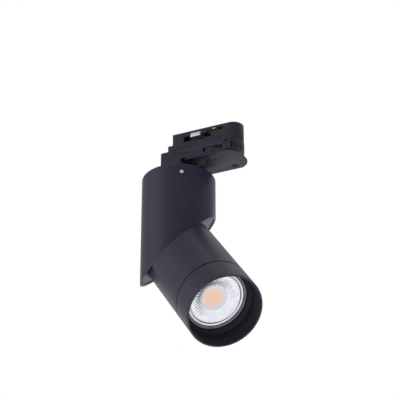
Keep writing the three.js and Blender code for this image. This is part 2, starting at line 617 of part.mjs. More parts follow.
function setScrew(turn) {
  const socketDepth = 2.2;
  const tip = TUBE_RADIUS - 0.5;
  const body = sideways(SET_SCREW_RADIUS - 0.1, tip - 5.5, tip);
  const hex = new THREE.CylinderGeometry(1.15, 1.15, socketDepth + 1, 6);
  hex.rotateZ(Math.PI / 2);
  hex.translate(tip - socketDepth / 2 + 0.5, 0, -SET_SCREW_DROP);
  return spun(body.subtract(solid(hex)), SET_SCREW_ANGLE + turn);
}

function terminalBlock() {
  const body = block(-18, -2, -10, 10, BLOCK_BOTTOM, BLOCK_TOP);
  const towers = TERMINAL_ROWS.map((y) => block(-9, -3, y - 2, y + 2, BLOCK_TOP - 1, BLOCK_TOP + 2.5));
  const driver = TERMINAL_ROWS.map((y) => rod(1.2, BLOCK_TOP - 4, BLOCK_TOP + 4, -5, y, SMALL_SEGMENTS));
  const entry = rod(SUPPLY_LEAD_RADIUS + 0.4, BLOCK_TOP - 5, BLOCK_TOP + 1, -13, -3, SMALL_SEGMENTS);
  const exit = rod(LEAD_RADIUS + 0.6, BLOCK_BOTTOM - 1, BLOCK_BOTTOM + 5, -10, 0, SMALL_SEGMENTS);
  const bore = rod(1.7, BLOCK_BOTTOM - 1, BLOCK_TOP + 1, ...BLOCK_STUD, SMALL_SEGMENTS);
  return joined([body, ...towers]).subtract(joined([...driver, entry, exit, bore]));
}

function terminalScrew() {
  const head = rod(2.8, BLOCK_BOTTOM - 2.2, BLOCK_BOTTOM - 0.2, ...BLOCK_STUD, SMALL_SEGMENTS);
  const shank = rod(1.15, BLOCK_BOTTOM - 1, BLOCK_TOP + 6, ...BLOCK_STUD, SMALL_SEGMENTS);
  const slot = block(-18, -10, 5.6, 6.4, BLOCK_BOTTOM - 3, BLOCK_BOTTOM - 1.4);
  return head.add(shank).subtract(slot);
}

function supplyLead() {
  const nippleTop = TUBE_TOP_DROP + NIPPLE_TOP;
  const bendTop = -8;
  const down = (share) => bendTop + share * (BLOCK_TOP - bendTop);
  return cable([[0, 0, nippleTop + 0.5], [0, 0, nippleTop / 2], [0, 0, -3], [0, 0, bendTop],
    [-4, -1, down(0.3)], [-11, -3, down(0.6)], [-13, -3, down(0.9)], [-13, -3, BLOCK_TOP - 3]],
  SUPPLY_LEAD_RADIUS, 20);
}

// Points on the slanted pivot's axis, counted from the cut's centre towards the tube.
function onPivot(distance, centreZ) {
  return [-distance * Math.sin(CUT_ANGLE), 0, centreZ + distance * Math.cos(CUT_ANGLE)];
}

function linkLead() {
  return cable([onPivot(4, -CUT_DEPTH), onPivot(9, -CUT_DEPTH), onPivot(13, -CUT_DEPTH),
    [-11, 0, -CUT_DEPTH + 13.2], [-10, 0, BLOCK_BOTTOM - 2], [-10, 0, BLOCK_BOTTOM + 3]], LEAD_RADIUS, 14);
}

// Elliptical plate that closes a tube just behind its slanted face.
function slantedPlate(centreZ, from, to) {
  const core = rod(TUBE_BORE - GAP, centreZ - TUBE_DIAMETER, centreZ + TUBE_DIAMETER, 0, 0, SHELL_SEGMENTS);
  return core.intersect(beyondCut(from, centreZ)).subtract(beyondCut(to, centreZ));
}

// Puts a part modelled about an upright pivot axis (+Z towards the tube) on the slanted cut.
function onCut(part, centreZ) {
  return part.rotate([0, -THREE.MathUtils.radToDeg(CUT_ANGLE), 0]).translate([0, 0, centreZ]);
}

function upperPlate() {
  const plate = slantedPlate(-CUT_DEPTH, -PLATE_FAR, -PLATE_NEAR);
  const bore = rod(PIVOT_RADIUS + RUNNING, -PLATE_FAR - 2, PLATE_FAR + 2);
  const pin = rod(STOP_PIN_RADIUS, PLATE_FAR - 1, STOP_BASE + 1.5, STOP_PIN_CIRCLE, 0, SMALL_SEGMENTS);
  const pins = spun(pin, -STOP_PIN_MARGIN).add(spun(pin, Math.PI + STOP_PIN_MARGIN));
  return plate.subtract(onCut(bore, -CUT_DEPTH)).add(onCut(pins, -CUT_DEPTH));
}

function frictionDisc() {
  const half = PLATE_NEAR - 0.2;
  return onCut(ring(PIVOT_RADIUS + RUNNING, FRICTION_DISC_RADIUS, -half, half), -CUT_DEPTH);
}

// ---------------------------------------------------------------- head (origin: the cut's centre)

function headShell() {
  const wall = ring(TUBE_BORE, TUBE_RADIUS, SHELL_END, TUBE_DIAMETER, SHELL_SEGMENTS);
  return wall.intersect(beyondCut(FACE_GAP / 2, 0));
}

function lowerPlate() {
  const plate = slantedPlate(0, PLATE_NEAR, PLATE_FAR);
  const bore = rod(PIVOT_RADIUS + 0.1, -PLATE_FAR - 2, PLATE_FAR + 2);
  return plate.subtract(onCut(bore, 0));
}

function pivotBolt() {
  const head = rod(PIVOT_HEAD_RADIUS, -PLATE_FAR - PIVOT_HEAD_HEIGHT - 0.2, -PLATE_FAR - 0.2);
  const shank = rod(PIVOT_RADIUS, -PLATE_FAR - 1, PIVOT_SHANK);
  const bore = rod(PIVOT_BORE, -PLATE_FAR - 10, PIVOT_SHANK + 1);
  return onCut(head.add(shank).subtract(bore), 0);
}

function waveWasher() {
  const z = PLATE_FAR + 0.15;
  const inner = PIVOT_RADIUS + 0.15;
  const outer = PIVOT_HEAD_RADIUS;
  const washer = turned([[inner, z + 0.7], [outer, z], [outer, z + 0.9], [inner, z + 1.6]]);
  return onCut(washer, 0);
}

function stopPlate() {
  const top = STOP_BASE + 1.2;
  const disc = rod(STOP_PLATE_RADIUS, STOP_BASE, top);
  const tab = block(0, STOP_PIN_CIRCLE + 1.2, -1.5, 1.5, STOP_BASE, top);
  const bore = rod(PIVOT_RADIUS + 0.1, STOP_BASE - 1, top + 1);
  return onCut(disc.add(tab).subtract(bore), 0);
}

function pivotNut() {
  const base = STOP_BASE + 1.3;
  const top = Math.min(base + 4.6, PIVOT_SHANK - 0.2);
  const hexagon = rod(8.08, base, top, 0, 0, 6);
  return onCut(hexagon.subtract(rod(PIVOT_RADIUS + 0.1, base - 1, top + 1)), 0);
}

function bayonetPin(turn) {
  const pin = new THREE.CylinderGeometry(BAYONET_PIN_RADIUS, BAYONET_PIN_RADIUS, 1.5, SMALL_SEGMENTS);
  pin.rotateZ(Math.PI / 2);
  pin.translate(TUBE_BORE - 0.1 - 0.75, 0, BAYONET_Z);
  return spun(solid(pin), turn);
}

// Wedge of a ring between two angles, used for the bayonet and holder slots.
function sector(inner, outer, z0, z1, from, to) {
  const shape = new THREE.Shape();
  shape.absarc(0, 0, outer, from, to);
  shape.absarc(0, 0, inner, to, from, true);
  return prism(shape, z0, z1, 8);
}

function frontRing() {
  const rimInner = TUBE_RADIUS - RING_WALL;
  const rim = -HEAD_LENGTH;
  const lip = LAMP_RADIUS - 0.6;
  const seat = LAMP_FACE - GAP;
  const body = turned([
    [COLLAR_INNER, COLLAR_TOP], [COLLAR_INNER, seat], [lip, seat], [lip, seat - 1.2],
    [rimInner - 1, seat - 3], [rimInner, rim + 0.4], [rimInner + 0.4, rim],
    [TUBE_RADIUS - 0.4, rim], [TUBE_RADIUS, rim + 0.4],
    [TUBE_RADIUS, RING_START], [COLLAR_OUTER, RING_START], [COLLAR_OUTER, COLLAR_TOP],
  ], SHELL_SEGMENTS);
  const clearance = BAYONET_PIN_RADIUS + GAP;
  const half = Math.asin(clearance / COLLAR_INNER);
  const run = sector(COLLAR_INNER - 1, COLLAR_OUTER + 1, BAYONET_Z - clearance, BAYONET_Z + clearance,
    -half - BAYONET_TURN, half);
  const entry = sector(COLLAR_INNER - 1, COLLAR_OUTER + 1, BAYONET_Z, COLLAR_TOP + 1,
    -half - BAYONET_TURN, half - BAYONET_TURN);
  return body.subtract(around(run.add(entry), 3));
}

function ringSeal() {
  return ring(COLLAR_OUTER + 0.1, TUBE_RADIUS - 0.6, RING_START + 0.2, SHELL_END - 0.2, SHELL_SEGMENTS);
}

// ---------------------------------------------------------------- lamp (same origin as the head)

// Cup behind the lens: a floor for the board, and a tapered wall down to the base.
function lampHousing() {
  const wall = 1.6;
  const floorThickness = 2.5;
  const end = LAMP_BACK - 6;
  const seat = BOARD_BACK + GAP;
  const waist = BOARD_BACK + 8;
  const waistRadius = LAMP_RADIUS - 6;
  const endRadius = LAMP_BASE_RADIUS + 2.5;
  return turned([
    [0, seat], [13, seat], [LAMP_RADIUS - 0.2 - wall, RIM_BACK + GAP],
    [LAMP_RADIUS - 0.2, RIM_BACK + GAP], [LAMP_RADIUS - 1, RIM_BACK + 5], [waistRadius, waist],
    [endRadius, end], [endRadius - wall, end], [waistRadius - wall, waist],
    [waistRadius, seat + floorThickness], [0, seat + floorThickness],
  ], SHELL_SEGMENTS);
}

function lampBezel() {
  const inner = LAMP_RADIUS - LAMP_BEZEL_WIDTH;
  return turned([[inner, LAMP_FACE], [LAMP_RADIUS - 0.6, LAMP_FACE], [LAMP_RADIUS, LAMP_FACE + 0.6],
    [LAMP_RADIUS, RIM_BACK], [inner, RIM_BACK]], SHELL_SEGMENTS);
}

function lampLens() {
  const r = LAMP_RADIUS - LAMP_BEZEL_WIDTH - GAP;
  const front = LAMP_FACE + 0.8;
  const well = 5.5;
  return turned([[0, front], [r, front], [r, front + 1.6], [18, front + 5], [12.5, LENS_BACK - 2],
    [9.5, LENS_BACK], [well + 0.6, LENS_BACK], [well, front + 5.5], [0, front + 4.2]], SHELL_SEGMENTS);
}

function ledBoard() {
  return rod(12.2, LENS_BACK + 0.6, BOARD_BACK, 0, 0);
}

function ledEmitter() {
  const base = LENS_BACK + 0.5;
  return turned([[0, base], [4.6, base], [4.6, base - 0.7], [3.4, base - 1.5], [0, base - 1.9]]);
}

function lampBase() {
  const front = LAMP_BACK - 6 + GAP;
  const collar = turned([[0, front], [LAMP_BASE_RADIUS + 2, front], [LAMP_BASE_RADIUS, front + 3],
    [LAMP_BASE_RADIUS, LAMP_BACK], [0, LAMP_BACK]]);
  const bores = [-1, 1].map((side) => rod(LAMP_PIN_RADIUS + 0.1, LAMP_BACK - 4, LAMP_BACK + 1,
    (side * LAMP_PIN_SPACING) / 2, 0, SMALL_SEGMENTS));
  return collar.subtract(joined(bores));
}

function lampPin(side) {
  const x = (side * LAMP_PIN_SPACING) / 2;
  const tip = LAMP_BACK + LAMP_PIN_LENGTH;
  const shank = rod(LAMP_PIN_RADIUS, LAMP_BACK - 3.6, tip, x, 0, SMALL_SEGMENTS);
  const head = rod(LAMP_PIN_HEAD_RADIUS, tip - 2.5, tip, x, 0, SMALL_SEGMENTS);
  return shank.add(head);
}

function lampHolder() {
  const body = rod(HOLDER_RADIUS, HOLDER_FACE, HOLDER_BACK, 0, 0);
  const r = LAMP_PIN_SPACING / 2;
  const neckSlot = LAMP_PIN_RADIUS + GAP;
  const headSlot = LAMP_PIN_HEAD_RADIUS + GAP;
  const neckTop = HOLDER_FACE + 5;
  const headBottom = HOLDER_FACE + 2.8;
  const headTop = HOLDER_FACE + 8.5;
  const entryAngle = LAMP_TWIST + 0.15;
  const cuts = [0, Math.PI].flatMap((side) => {
    const entryX = r * Math.cos(side + entryAngle);
    const entryY = r * Math.sin(side + entryAngle);
    return [
      sector(r - neckSlot, r + neckSlot, HOLDER_FACE - 1, neckTop, side - 0.4, side + LAMP_TWIST + 0.4),
      rod(headSlot, HOLDER_FACE - 1, headTop, entryX, entryY, SMALL_SEGMENTS),
      sector(r - headSlot, r + headSlot, headBottom, headTop, side - 0.65, side + LAMP_TWIST + 0.65),
    ];
  });
  const screwBores = [-1, 1].map((side) => {
    return rod(1.3, HOLDER_BACK - 7, HOLDER_BACK + 1, 0, side * HOLDER_SCREW_OFFSET, SMALL_SEGMENTS);
  });
  const leadBore = rod(2.1, HOLDER_BACK - 3, HOLDER_BACK + 1, 0, 0, SMALL_SEGMENTS);
  return body.subtract(joined([...cuts, ...screwBores, leadBore]));
}

function holderBracket() {
  const base = HOLDER_BACK + GAP;
  const reach = TUBE_BORE - GAP;
  const core = rod(reach, base - 10, base + BRACKET_THICKNESS, 0, 0, SHELL_SEGMENTS);
  const strip = block(-6, 6, -reach - 1, reach + 1, base, base + BRACKET_THICKNESS);
  const leg = block(-6, 6, reach - BRACKET_THICKNESS, reach + 1, base - 9, base + BRACKET_THICKNESS);
  const legs = [0, Math.PI].map((turn) => spun(leg, turn));
  const bores = [-1, 1].map((side) => {
    return rod(1.7, base - 1, base + 3, 0, side * HOLDER_SCREW_OFFSET, SMALL_SEGMENTS);
  });
  const leadBore = rod(2.6, base - 1, base + 3, 0, 0, SMALL_SEGMENTS);
  return joined([strip, ...legs]).intersect(core).subtract(joined([...bores, leadBore]));
}

function holderScrew(side) {
  const top = HOLDER_BACK + GAP + BRACKET_THICKNESS;
  const y = side * HOLDER_SCREW_OFFSET;
  const head = rod(2.7, top + 0.1, top + 2, 0, y, SMALL_SEGMENTS);
  const shank = rod(1.15, top - 7, top + 1, 0, y, SMALL_SEGMENTS);
  const slot = block(-3, 3, y - 0.4, y + 0.4, top + 1.2, top + 3);
  return head.add(shank).subtract(slot);
}

function holderLead() {
  return cable([onPivot(1, 0), onPivot(-4, 0), onPivot(-8.5, 0), [6.6, 0, -10], [3, 0, -15],
    [0, 0, HOLDER_BACK + 2.5], [0, 0, HOLDER_BACK - 2]], LEAD_RADIUS, 16);
}

// ---------------------------------------------------------------- assembly

const spotlight = new THREE.Group();

const adapter = new THREE.Group();
spotlight.add(adapter);
addPart(adapter, 'adapter_housing', adapterHousing(), blackPlastic);
addPart(adapter, 'adapter_insert', adapterInsert(), blackPlastic);
SCREW_PLACES.forEach((place, i) => {
  addPart(adapter, `housing_screw_${i + 1}`, housingScrew(place), blackSteel);
});
addPart(adapter, 'lock_lever', lockLever(), blackPlastic);
addPart(adapter, 'lever_rivet', leverRivet(), blackSteel);
addPart(adapter, 'lock_shaft', lockShaft(), blackSteel);
addPart(adapter, 'lock_cam', lockCam(), steel);
addPart(adapter, 'selector_wheel', selectorWheel(), blackPlastic);
addPart(adapter, 'selector_shaft', selectorShaft(), whiteCeramic);
addPart(adapter, 'phase_contact', phaseContact(), brass);
addPart(adapter, 'neutral_contact', neutralContact(), brass);
[0, 1].forEach((side) => addPart(adapter, `earth_contact_${side + 1}`, earthContact(side), brass));
addPart(adapter, 'release_button', releaseButton(), blackPlastic);
addPart(adapter, 'adapter_lead', adapterLead(), silicone);

// The nipple, its washer and its nut stay on the tube's axis and turn with the tube.
const swivel = new THREE.Group();
spotlight.add(swivel);
addPart(swivel, 'swivel_nipple', swivelNipple(), steel);
addPart(swivel, 'stop_washer', stopWasher(), steel);
addPart(swivel, 'ring_nut', ringNut(), brass);

const tube = new THREE.Group();
tube.position.z = -TUBE_TOP_DROP;
tube.rotation.z = PAN_REST;
spotlight.add(tube);
addPart(tube, 'mount_cap', mountCap(), blackPaint);
addPart(tube, 'upper_tube', upperTube(), blackPaint);
THIRDS.forEach((turn, i) => addPart(tube, `set_screw_${i + 1}`, setScrew(turn), steel));
addPart(tube, 'terminal_block', terminalBlock(), whiteCeramic);
addPart(tube, 'terminal_screw', terminalScrew(), steel);
addPart(tube, 'supply_lead', supplyLead(), silicone);
addPart(tube, 'link_lead', linkLead(), silicone);
addPart(tube, 'upper_pivot_plate', upperPlate(), blackPaint);
addPart(tube, 'friction_disc', frictionDisc(), rubber);

const head = new THREE.Group();
const cutNormal = new THREE.Vector3(Math.sin(CUT_ANGLE), 0, -Math.cos(CUT_ANGLE));
head.position.z = -CUT_DEPTH;
head.quaternion.setFromAxisAngle(cutNormal, SWIVEL_REST);
tube.add(head);
addPart(head, 'head_shell', headShell(), blackPaint);
addPart(head, 'lower_pivot_plate', lowerPlate(), blackPaint);
addPart(head, 'pivot_bolt', pivotBolt(), steel);
addPart(head, 'wave_washer', waveWasher(), darkSteel);
addPart(head, 'stop_plate', stopPlate(), steel);
addPart(head, 'pivot_nut', pivotNut(), steel);
THIRDS.forEach((turn, i) => addPart(head, `bayonet_pin_${i + 1}`, bayonetPin(turn), steel));
addPart(head, 'front_ring', frontRing(), blackPaint);
addPart(head, 'ring_seal', ringSeal(), rubber);
addPart(head, 'lamp_holder', lampHolder(), whiteCeramic);
addPart(head, 'holder_bracket', holderBracket(), steel);
[-1, 1].forEach((side, i) => addPart(head, `holder_screw_${i + 1}`, holderScrew(side), steel));
addPart(head, 'holder_lead', holderLead(), silicone);

const lamp = new THREE.Group();
head.add(lamp);
addPart(lamp, 'lamp_housing', lampHousing(), aluminium);
addPart(lamp, 'lamp_bezel', lampBezel(), blackPaint);
addPart(lamp, 'lamp_lens', lampLens(), clearPlastic);
addPart(lamp, 'led_board', ledBoard(), boardWhite);
addPart(lamp, 'led_emitter', ledEmitter(), phosphor);
addPart(lamp, 'lamp_base', lampBase(), whiteCeramic);
[-1, 1].forEach((side, i) => addPart(lamp, `lamp_pin_${i + 1}`, lampPin(side), steel));

export default spotlight;
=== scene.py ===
"""Visual model of the track spotlight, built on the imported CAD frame. Metres, +Z up."""
import json
import math

import bmesh
import bpy
from mathutils import Matrix, Vector


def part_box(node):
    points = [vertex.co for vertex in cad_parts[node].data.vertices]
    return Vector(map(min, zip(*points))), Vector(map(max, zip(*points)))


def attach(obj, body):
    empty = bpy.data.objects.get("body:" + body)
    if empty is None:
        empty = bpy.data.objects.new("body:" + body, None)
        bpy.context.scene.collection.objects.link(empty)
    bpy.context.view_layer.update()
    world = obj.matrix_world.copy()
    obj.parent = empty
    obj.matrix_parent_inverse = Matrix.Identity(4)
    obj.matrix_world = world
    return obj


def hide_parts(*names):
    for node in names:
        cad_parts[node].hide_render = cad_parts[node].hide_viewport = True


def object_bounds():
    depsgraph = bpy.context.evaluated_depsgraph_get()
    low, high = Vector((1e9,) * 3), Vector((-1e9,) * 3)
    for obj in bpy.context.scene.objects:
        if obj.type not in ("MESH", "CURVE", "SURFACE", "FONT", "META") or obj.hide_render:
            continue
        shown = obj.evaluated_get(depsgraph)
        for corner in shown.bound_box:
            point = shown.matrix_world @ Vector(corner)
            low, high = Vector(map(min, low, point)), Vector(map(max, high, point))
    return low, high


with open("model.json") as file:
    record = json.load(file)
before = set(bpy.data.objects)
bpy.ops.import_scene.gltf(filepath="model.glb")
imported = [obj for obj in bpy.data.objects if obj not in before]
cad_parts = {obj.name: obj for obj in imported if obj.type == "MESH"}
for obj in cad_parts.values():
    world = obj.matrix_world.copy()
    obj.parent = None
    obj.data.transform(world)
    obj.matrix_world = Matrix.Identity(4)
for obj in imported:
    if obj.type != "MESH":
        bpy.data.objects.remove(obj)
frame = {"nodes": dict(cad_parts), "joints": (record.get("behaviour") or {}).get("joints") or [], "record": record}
cad_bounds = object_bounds()

# ------------------------------------------------------------------ sizes and places

MM = 0.001
TUBE_RADIUS = 29.92 * MM         # a true circle just inside the many-sided CAD tube
TUBE_WALL = 1.6 * MM
TUBE_BORE = TUBE_RADIUS - TUBE_WALL
TOP_EDGE_RADIUS = 1.2 * MM
FACE_GAP = 0.5 * MM              # between the two slanted faces
PLATE_RECESS = 0.4 * MM
PLATE_THICKNESS = 2.5 * MM
FIT = 0.3 * MM                   # gap between fixed neighbours
CUT_TILT = math.radians(45)
GROOVE = 1.0 * MM
RING_LENGTH = 23.4 * MM
RING_WALL = 1.5 * MM
COLLAR_OUTER = TUBE_BORE - FIT
LAMP_RADIUS = 25 * MM
LAMP_RECESS = 18.6 * MM
BEZEL_WIDTH = 2.3 * MM
EDGE = 0.2 * MM                  # small broken edge on machined parts
WALL_STEPS = 28                  # rows along the wall of a slanted tube
ROUND = 192                      # divisions round the tube and head
RIM_BEYOND_BAYONET = 13.2 * MM   # from the bayonet pins' plane to the front ring's rim
SCREW_RADIUS = 1.9 * MM          # grub screws that hold the tube
SCREW_HOLE_RADIUS = 2.15 * MM
SCREW_LENGTH = 5.5 * MM
SCREW_THREADS = 13
SCREW_SUNK = 0.5 * MM            # below the tube's surface
SOCKET_RADIUS = 1.2 * MM
SOCKET_DEPTH = 2 * MM
PLATE_BORE = 5.1 * MM
COLLAR_HEIGHT = 8 * MM           # the ring's collar, inside the head
COLLAR_WALL_START = 1.4 * MM     # outside the lamp's edge
LIP_OVERLAP = 0.6 * MM           # the ring's lip over the lamp's edge
LIP_THICKNESS = 1.2 * MM
RIM_BEAD = 0.35 * MM             # rounding of the ring's rim

joints = {j["name"]: j for j in frame["joints"]}
cut_centre = Vector(joints["head_swivel"]["pos_m"])
cut_normal = Vector(joints["head_swivel"]["axis"]).normalized()
head_up = Vector(joints["ring_bayonet"]["axis"]).normalized()
tube_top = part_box("upper_tube")[1].z
cut_depth = tube_top - cut_centre.z
head_length = (Vector(joints["ring_bayonet"]["pos_m"]) - cut_centre).length + RIM_BEYOND_BAYONET


def local_frame(origin, up):
    """Axes with +Z along up, and the cut's high side over +X."""
    z = up.normalized()
    x = (cut_normal + math.cos(CUT_TILT) * z) / math.sin(CUT_TILT)
    x = (x - x.dot(z) * z).normalized()
    y = z.cross(x)
    turn = Matrix((x, y, z)).transposed().to_4x4()
    return Matrix.Translation(origin) @ turn


TUBE = local_frame(Vector((0, 0, tube_top)), Vector((0, 0, 1)))
HEAD = local_frame(cut_centre, head_up)

SHELL_END = -(head_length - RING_LENGTH) + GROOVE / 2
RING_START = SHELL_END - GROOVE
LAMP_FACE = -(head_length - LAMP_RECESS)
LENS_RADIUS = LAMP_RADIUS - BEZEL_WIDTH - FIT
LENS_FRONT = LAMP_FACE + 0.8 * MM
LENS_EDGE_WIDTH = 2.6 * MM       # the lens's ringed edge
LENS_EDGE_RINGS = 3
DISC_RADIUS = 10.6 * MM          # centre lens
DISC_DEPTH = 2.5 * MM            # behind the lamp lens's front
DISC_CROWN = 0.5 * MM
CELL = 1.15 * MM                 # pitch of the disc's small lenses
CELL_BULGE = 0.16 * MM
BOWL_DEPTH = 2.4 * MM            # fluted reflector
FLUTES_ROUND = 44
FLUTE_DEPTH = 0.17 * MM
EMITTER_SHIFT = Vector((-3.6, 0, 4.0)) * MM  # where the phosphor shows in the centre lens
PHOSPHOR_CORE = 3.0 * MM         # all peach inside this radius
PHOSPHOR_REACH = 12.5 * MM       # no peach outside this one
PHOSPHOR_COLOUR = (1.0, 0.64, 0.45)
PHOSPHOR_PAINTED_GLOW = 0.26             # painted glow: the unlit lens and phosphor give off a little light in their own colours

CAMERA_PLACE = Vector((0.46432, -0.98503, -0.63811))
CAMERA_HEADING = math.radians(24.33)
CAMERA_TILT = math.radians(28.73)
CAMERA_LENS = 138.18
CAMERA_SIDE = Vector((math.cos(CAMERA_HEADING), math.sin(CAMERA_HEADING), 0))
BACKDROP_SIDE = Vector((-math.sin(CAMERA_HEADING), math.cos(CAMERA_HEADING), 0))
OBJECT_MIDDLE = (Vector(cad_bounds[0]) + Vector(cad_bounds[1])) / 2
FLOOR_HEIGHT = -0.98
FLOOR_HALF_SIZE = 30
FLOOR_GLOW = 0.5                 # keeps the floor white

# ------------------------------------------------------------------ mesh helpers


def new_object(name, bm, place=Matrix.Identity(4)):
    """Object from a bmesh, with its place baked into its vertices."""
    bmesh.ops.recalc_face_normals(bm, faces=bm.faces)
    mesh = bpy.data.meshes.new(name)
    bm.to_mesh(mesh)
    bm.free()
    mesh.transform(place)
    obj = bpy.data.objects.new(name, mesh)
    bpy.context.scene.collection.objects.link(obj)
    return obj


def shade(obj, sharp_degrees=32):
    """Smooth shading, with edges sharper than the angle kept crisp."""
    mesh = obj.data
    mesh.polygons.foreach_set("use_smooth", [True] * len(mesh.polygons))
    mesh.set_sharp_from_angle(angle=math.radians(sharp_degrees))
    mesh.update()


def swept_ring(name, rows, place, divisions=ROUND):
    """Closed skin whose rows are functions of the angle that give (radius, height)."""
    bm = bmesh.new()
    angles = [2 * math.pi * i / divisions for i in range(divisions)]
    grid = []
    for row in rows:
        points = [(row(a), a) for a in angles]
        grid.append([bm.verts.new((r * math.cos(a), r * math.sin(a), z)) for (r, z), a in points])
    count = len(rows)
    for k in range(count):
        lower, upper = grid[k], grid[(k + 1) % count]
        for i in range(divisions):
            j = (i + 1) % divisions
            bm.faces.new((lower[i], lower[j], upper[j], upper[i]))
    return new_object(name, bm, place)


def level_rows(profile):
    """Rows that hold one (radius, height) corner all the way round."""
    return [(lambda angle, r=r, z=z: (r, z)) for r, z in profile]


def revolved(name, profile, place):
    """Closed ring turned from a list of (radius, height) corners."""
    return swept_ring(name, level_rows(profile), place)


def turned_solid(name, profile, place, divisions):
    """Solid turned from corners that start and end on the axis."""
    bm = bmesh.new()
    grid = []
    angles = [2 * math.pi * i / divisions for i in range(divisions)]
    for r, z in profile[1:-1]:
        grid.append([bm.verts.new((r * math.cos(a), r * math.sin(a), z)) for a in angles])
    first = bm.verts.new((0, 0, profile[0][1]))
    last = bm.verts.new((0, 0, profile[-1][1]))
    for i in range(divisions):
        j = (i + 1) % divisions
        for lower, upper in zip(grid, grid[1:]):
            bm.faces.new((lower[i], lower[j], upper[j], upper[i]))
        bm.faces.new((first, grid[0][j], grid[0][i]))
        bm.faces.new((last, grid[-1][i], grid[-1][j]))
    return new_object(name, bm, place)


def cylinder(name, radius, start, end, divisions=48):
    """Plain rod between two points, used as a cutter."""
    bm = bmesh.new()
    axis = end - start
    bmesh.ops.create_cone(bm, cap_ends=True, segments=divisions, radius1=radius, radius2=radius,
                          depth=axis.length)
    turn = Vector((0, 0, 1)).rotation_difference(axis).to_matrix().to_4x4()
    return new_object(name, bm, Matrix.Translation((start + end) / 2) @ turn)


def cut(obj, cutters):
    """Takes the cutters away from the piece, and deletes them."""
    for cutter in cutters:
        boolean = obj.modifiers.new("cut", "BOOLEAN")
        boolean.operation = "DIFFERENCE"
        boolean.solver = "EXACT"
        boolean.object = cutter
    bake(obj)
    for cutter in cutters:
        bpy.data.objects.remove(cutter)


def bake(obj):
    """Replaces the piece's mesh with what its modifiers make of it."""
    bpy.context.view_layer.update()
    graph = bpy.context.evaluated_depsgraph_get()
    mesh = bpy.data.meshes.new_from_object(obj.evaluated_get(graph))
    obj.modifiers.clear()
    obj.data = mesh


replaced = set()


def place_piece(obj, body, node, material):
    """Gives a piece its material and its body, hides the CAD node that it stands for and notes that node as
    replaced.
    """
    obj.data.materials.clear()
    obj.data.materials.append(material)
    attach(obj, body)
    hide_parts(node)
    replaced.add(node)


def body_of_node(node):
    """The moving body that a CAD node belongs to."""
    return next(b for b, members in frame["record"]["behaviour"]["bodies"].items() if node in members)


def slot_of_node(node):
    """The material slot that the record gives a CAD node."""
    return next(s["material_slot"] for s in frame["record"]["subparts"] if s["node"] == node)


def refined(node, material, width):
    """Copy of a CAD node with its facets merged, its edges rounded and its curves smoothed."""
    bm = bmesh.new()
    bm.from_mesh(frame["nodes"][node].data)
    bmesh.ops.remove_doubles(bm, verts=bm.verts, dist=2e-6)
    bmesh.ops.dissolve_limit(bm, angle_limit=math.radians(0.5), verts=bm.verts, edges=bm.edges)
    obj = new_object(node + "_fine", bm)
    bevel = obj.modifiers.new("edges", "BEVEL")
    bevel.width = width
    bevel.segments = 3
    bevel.limit_method = "ANGLE"
    bevel.angle_limit = math.radians(38)
    bevel.use_clamp_overlap = True
    bake(obj)
    shade(obj, 30)
    place_piece(obj, body_of_node(node), node, material)


# ------------------------------------------------------------------ materials

MIX_FACTOR, MIX_FIRST, MIX_SECOND, MIX_COLOUR = 0, 6, 7, 2  # sockets of a Mix node that mixes colours


class Look:
    """A Principled material with helpers for its procedural detail."""

    def __init__(self, name, colour, roughness, metallic=0.0):
        self.material = bpy.data.materials.new(name)
        self.material.use_nodes = True
        self.tree = self.material.node_tree
        self.shader = self.tree.nodes["Principled BSDF"]
        self.colour = colour
        self.roughness = roughness
        self.shader.inputs["Base Color"].default_value = (*colour, 1)
        self.shader.inputs["Roughness"].default_value = roughness
        self.shader.inputs["Metallic"].default_value = metallic
        self.where = self.tree.nodes.new("ShaderNodeTexCoord").outputs["Object"]

    def link(self, a, b):
        self.tree.links.new(a, b)

    def noise(self, per_metre, detail, stretch=(1, 1, 1)):
        mapping = self.tree.nodes.new("ShaderNodeMapping")
        mapping.inputs["Scale"].default_value = stretch
        self.link(self.where, mapping.inputs["Vector"])
        texture = self.tree.nodes.new("ShaderNodeTexNoise")
        texture.inputs["Scale"].default_value = per_metre
        texture.inputs["Detail"].default_value = detail
        self.link(mapping.outputs["Vector"], texture.inputs["Vector"])
        return texture.outputs["Fac"]

    def ranged(self, value, low, high):
        node = self.tree.nodes.new("ShaderNodeMapRange")
        node.inputs["From Min"].default_value = 0.3
        node.inputs["From Max"].default_value = 0.7
        node.inputs["To Min"].default_value = low
        node.inputs["To Max"].default_value = high
        self.link(value, node.inputs["Value"])
        return node.outputs["Result"]

    def blend(self, value, first, second):
        """Colour that goes from first to second as value goes from 0 to 1."""
        mix = self.tree.nodes.new("ShaderNodeMix")
        mix.data_type = "RGBA"
        mix.inputs[MIX_FIRST].default_value = (*first, 1)
        mix.inputs[MIX_SECOND].default_value = (*second, 1)
        self.link(value, mix.inputs[MIX_FACTOR])
        return mix.outputs[MIX_COLOUR]

    def vary_colour(self, value, amount):
        darker = [c * (1 - amount) for c in self.colour]
        lighter = [min(1, c * (1 + amount)) for c in self.colour]
        self.link(self.blend(self.ranged(value, 0, 1), darker, lighter), self.shader.inputs["Base Color"])

    def vary_roughness(self, value, amount):
        self.link(self.ranged(value, self.roughness - amount, self.roughness + amount),
                  self.shader.inputs["Roughness"])

    def bumps(self, value, depth, strength):
        node = self.tree.nodes.new("ShaderNodeBump")
        node.inputs["Distance"].default_value = depth
        node.inputs["Strength"].default_value = strength
        self.link(value, node.inputs["Height"])
        self.link(node.outputs["Normal"], self.shader.inputs["Normal"])


def powder_coat(name, colour, roughness, reflection=0.5):
    """Fine satin powder coat: a dense low orange peel with a little mottling."""
    look = Look(name, colour, roughness)
    look.shader.inputs["Specular IOR Level"].default_value = reflection
    look.vary_colour(look.noise(220, 4), 0.10)
    look.vary_roughness(look.noise(900, 3), 0.05)
    look.bumps(look.noise(2600, 2), 0.02 * MM, 0.5)
    return look.material


